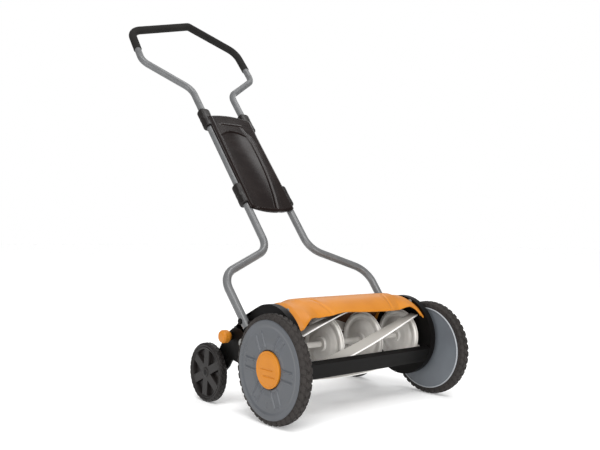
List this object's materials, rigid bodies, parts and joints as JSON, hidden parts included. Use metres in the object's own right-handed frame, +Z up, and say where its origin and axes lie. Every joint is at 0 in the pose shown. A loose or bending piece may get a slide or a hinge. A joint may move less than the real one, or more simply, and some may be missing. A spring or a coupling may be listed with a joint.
{
  "type": "reel mower",
  "caption": "Push reel mower: geared side wheels turn a bladed reel against a bed knife; curved grass cover, small rear height wheels and a leaning tube handle with panel.",
  "frame": {"origin": "on the ground straight below the middle of the wheel axle line", "axes": "+Z up, front of the mower faces -Y, operator's right is -X, wheel and reel axes along X"},
  "size_m": [0.584, 1.012, 1.1768],
  "materials": {
    "black_paint": "satin black powder coat",
    "grey_paint": "satin grey powder coat",
    "orange_plastic": "moulded, satin",
    "wheel_plastic": "moulded blue-grey",
    "tyre_rubber": "matte",
    "black_plastic": "moulded black",
    "grip_foam": "soft, matte",
    "reel_steel": "warm grey paint",
    "blade_steel": "ground edges",
    "gear_nylon": "glass-filled nylon",
    "zinc_steel": "zinc plated"
  },
  "bodies": {
    "deck": {"side_plate_left": "black_paint", "side_plate_right": "black_paint", "drive_cover_left": "black_paint", "drive_cover_right": "black_paint", "front_bar": "black_paint", "knife_carrier": "black_paint", "bed_knife": "black_paint", "bed_knife_screws": "black_paint", "reel_bearings": "gear_nylon", "axle_bolts": "zinc_steel", "wheel_nuts": "zinc_steel", "idler_pins": "zinc_steel", "frame_bolts": "zinc_steel", "arm_pivot_bolts": "zinc_steel", "handle_bolts": "black_paint", "handle_stops": "black_plastic", "cover_guide_screws": "zinc_steel"},
    "wheel_left": {"tyre_left": "tyre_rubber", "wheel_left": "wheel_plastic", "wheel_inner_disc_left": "wheel_plastic", "hub_cap_left": "orange_plastic", "hub_gear_left": "gear_nylon"},
    "wheel_right": {"tyre_right": "tyre_rubber", "wheel_right": "wheel_plastic", "wheel_inner_disc_right": "wheel_plastic", "hub_cap_right": "orange_plastic", "hub_gear_right": "gear_nylon"},
    "idler_left": {"idler_gear_left": "gear_nylon"},
    "idler_right": {"idler_gear_right": "gear_nylon"},
    "pinion_left": {"pinion_left": "zinc_steel"},
    "reel": {"reel_shaft": "reel_steel", "ratchet_keys": "zinc_steel", "pinion_right": "zinc_steel", "reel_disc_1": "reel_steel", "reel_disc_2": "reel_steel", "reel_disc_3": "reel_steel", "reel_disc_4": "reel_steel", "reel_blade_1": "blade_steel", "reel_blade_2": "blade_steel", "reel_blade_3": "blade_steel", "reel_blade_4": "blade_steel", "reel_blade_5": "blade_steel"},
    "grass_cover": {"grass_cover": "orange_plastic"},
    "height_frame": {"height_arm_left": "black_paint", "height_arm_right": "black_paint", "height_tie_rod": "black_paint", "rear_axle_bolts": "black_paint"},
    "height_knob": {"height_knob": "orange_plastic"},
    "rear_wheel_left": {"rear_wheel_left": "black_plastic"},
    "rear_wheel_right": {"rear_wheel_right": "black_plastic"},
    "handle": {"lower_tube_left": "grey_paint", "lower_tube_right": "grey_paint", "upper_tube": "grey_paint", "hand_grip": "grip_foam", "handle_panel": "black_plastic", "tube_clamps": "black_plastic", "clamp_bolts": "zinc_steel"}
  },
  "joints": [
    {"name": "reel_spin", "type": "hinge", "parent": "deck", "child": "reel", "pos_m": [0, 0.0604, 0.1593], "axis": [1, 0, 0], "continuous": true},
    {"name": "wheel_left_spin", "type": "hinge", "parent": "deck", "child": "wheel_left", "pos_m": [0, 0, 0.127], "axis": [1, 0, 0], "continuous": true},
    {"name": "wheel_right_spin", "type": "hinge", "parent": "deck", "child": "wheel_right", "pos_m": [0, 0, 0.127], "axis": [1, 0, 0], "continuous": true},
    {"name": "idler_left_spin", "type": "hinge", "parent": "deck", "child": "idler_left", "pos_m": [0, 0.0397, 0.15262], "axis": [1, 0, 0], "continuous": true},
    {"name": "idler_right_spin", "type": "hinge", "parent": "deck", "child": "idler_right", "pos_m": [0, 0.0397, 0.15262], "axis": [1, 0, 0], "continuous": true},
    {"name": "pinion_left_spin", "type": "hinge", "parent": "deck", "child": "pinion_left", "pos_m": [0, 0.0604, 0.1593], "axis": [1, 0, 0], "continuous": true},
    {"name": "rear_wheel_left_spin", "type": "hinge", "parent": "height_frame", "child": "rear_wheel_left", "pos_m": [0, 0.2867, 0.076], "axis": [1, 0, 0], "continuous": true},
    {"name": "rear_wheel_right_spin", "type": "hinge", "parent": "height_frame", "child": "rear_wheel_right", "pos_m": [0, 0.2867, 0.076], "axis": [1, 0, 0], "continuous": true},
    {"name": "cutting_height", "type": "hinge", "parent": "deck", "child": "height_frame", "pos_m": [0, 0.158, 0.165], "axis": [1, 0, 0], "range_deg": [-20, 20]},
    {"name": "height_knob_pull", "type": "slide", "parent": "height_frame", "child": "height_knob", "axis": [-1, 0, 0], "range_m": [0, 0.006], "stiffness_N_per_m": 900, "springref_m": -0.004},
    {"name": "handle_tilt", "type": "hinge", "parent": "deck", "child": "handle", "pos_m": [0, 0.144, 0.221], "axis": [1, 0, 0], "range_deg": [0, 50]},
    {"name": "grass_cover_tilt", "type": "hinge", "parent": "deck", "child": "grass_cover", "pos_m": [0, 0.0604, 0.1593], "axis": [1, 0, 0], "range_deg": [-25, 0]}
  ],
  "couplings": [
    {"joint": "wheel_right_spin", "follows": "reel_spin", "ratio": 0.26087},
    {"joint": "idler_right_spin", "follows": "reel_spin", "ratio": -0.70588},
    {"joint": "idler_left_spin", "follows": "wheel_left_spin", "ratio": -2.7059},
    {"joint": "pinion_left_spin", "follows": "wheel_left_spin", "ratio": 3.8333}
  ]
}
